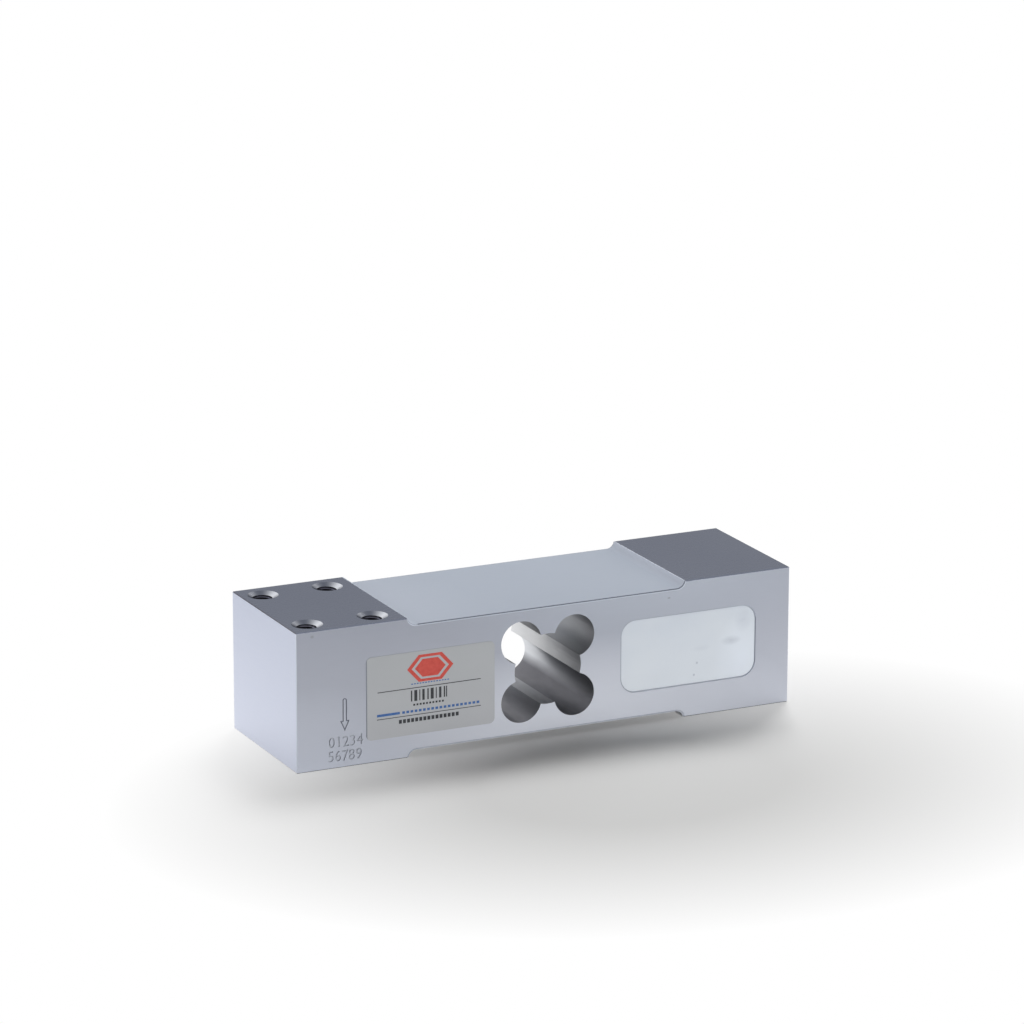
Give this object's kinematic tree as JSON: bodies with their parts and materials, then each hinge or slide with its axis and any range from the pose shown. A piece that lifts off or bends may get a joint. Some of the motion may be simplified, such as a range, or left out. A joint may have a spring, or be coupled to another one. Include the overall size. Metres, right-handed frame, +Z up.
{
  "type": "single point load cell",
  "caption": "Single point load cell: an aluminium bar with a four-lobe flexure bore, raised end pads, tapped mounting holes and a silicone-potted side pocket.",
  "frame": {"origin": "centre of the underside, level with the two lower end pads", "axes": "+X along the block from the load end to the fixed end, +Z up and against the load, and -Y towards the labelled side"},
  "size_m": [0.15, 0.0442, 0.0395],
  "materials": {
    "machined_aluminium": "fine machined and clear anodised, with brighter skimmed end pads",
    "cover_aluminium": "matt rolled sheet",
    "white_silicone": "glossy, slightly uneven",
    "clear_silicone": "smooth",
    "label_foil": "matt printed foil",
    "black_rubber": "matt",
    "polyimide_film": "smooth film",
    "constantan_foil": "etched foil",
    "terminal_copper": "tinned",
    "green_board": "solder mask",
    "resistor_body": "matt",
    "lead_copper": "enamelled wire"
  },
  "bodies": {
    "root": {"cable_inlet_bush": "black_rubber", "compensation_board": "green_board", "gauge_backing_lower_fixed": "polyimide_film", "gauge_backing_lower_load": "polyimide_film", "gauge_backing_upper_fixed": "polyimide_film", "gauge_backing_upper_load": "polyimide_film", "gauge_coating_lower": "clear_silicone", "gauge_coating_upper": "clear_silicone", "gauge_grid_lower_fixed": "constantan_foil", "gauge_grid_lower_load": "constantan_foil", "gauge_grid_upper_fixed": "constantan_foil", "gauge_grid_upper_load": "constantan_foil", "gauge_jumpers_lower": "lead_copper", "gauge_jumpers_upper": "lead_copper", "lead_ribbon_lower": "lead_copper", "lead_ribbon_upper": "lead_copper", "lower_gauge_cover": "cover_aluminium", "pocket_potting": "white_silicone", "rating_label": "label_foil", "span_resistor": "resistor_body", "spring_body": "machined_aluminium", "temperature_resistor": "resistor_body", "terminal_lower_fixed": "terminal_copper", "terminal_lower_load": "terminal_copper", "terminal_upper_fixed": "terminal_copper", "terminal_upper_load": "terminal_copper", "trim_resistor": "resistor_body", "upper_gauge_cover": "cover_aluminium", "zero_balance_resistor": "resistor_body"}
  },
  "joints": []
}
